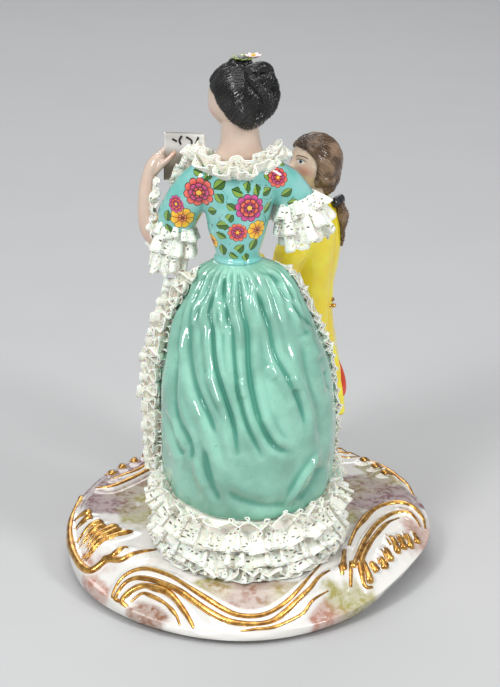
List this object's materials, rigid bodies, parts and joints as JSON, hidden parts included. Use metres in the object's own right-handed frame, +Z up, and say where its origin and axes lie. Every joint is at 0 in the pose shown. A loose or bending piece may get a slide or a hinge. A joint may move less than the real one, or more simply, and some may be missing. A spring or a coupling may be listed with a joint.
{
  "type": "porcelain figure group",
  "caption": "Glazed and painted porcelain group of a standing lady in a lace-trimmed gown and a seated gentleman on an oval scrolled base.",
  "frame": {"origin": "centre of the base's flat underside", "axes": "+Z up, the group's front faces -Y, the lady's left hand is on +X"},
  "size_m": [0.1692, 0.176, 0.2363],
  "materials": {
    "base": "glossy white glaze with soft mauve and olive clouding, raised scrolls gilt",
    "lady": "glossy turquoise glaze pooled darker in the folds, bodice painted with flowers, pale flesh, black hair",
    "lace": "matt cream-white porcelain lace, unglazed looking",
    "sheet": "glossy white glaze with dark painted strokes",
    "gentleman": "glossy lemon-yellow coat with a red lining, brown hair, pale flesh"
  },
  "bodies": {
    "root": {"base": "base", "lady": "lady", "hem_lace_flounce": "lace", "robe_lace_left": "lace", "robe_lace_right": "lace", "sleeve_lace_left": "lace", "sleeve_lace_right": "lace", "collar_lace": "lace", "sheet_music": "sheet", "gentleman": "gentleman"}
  },
  "joints": []
}
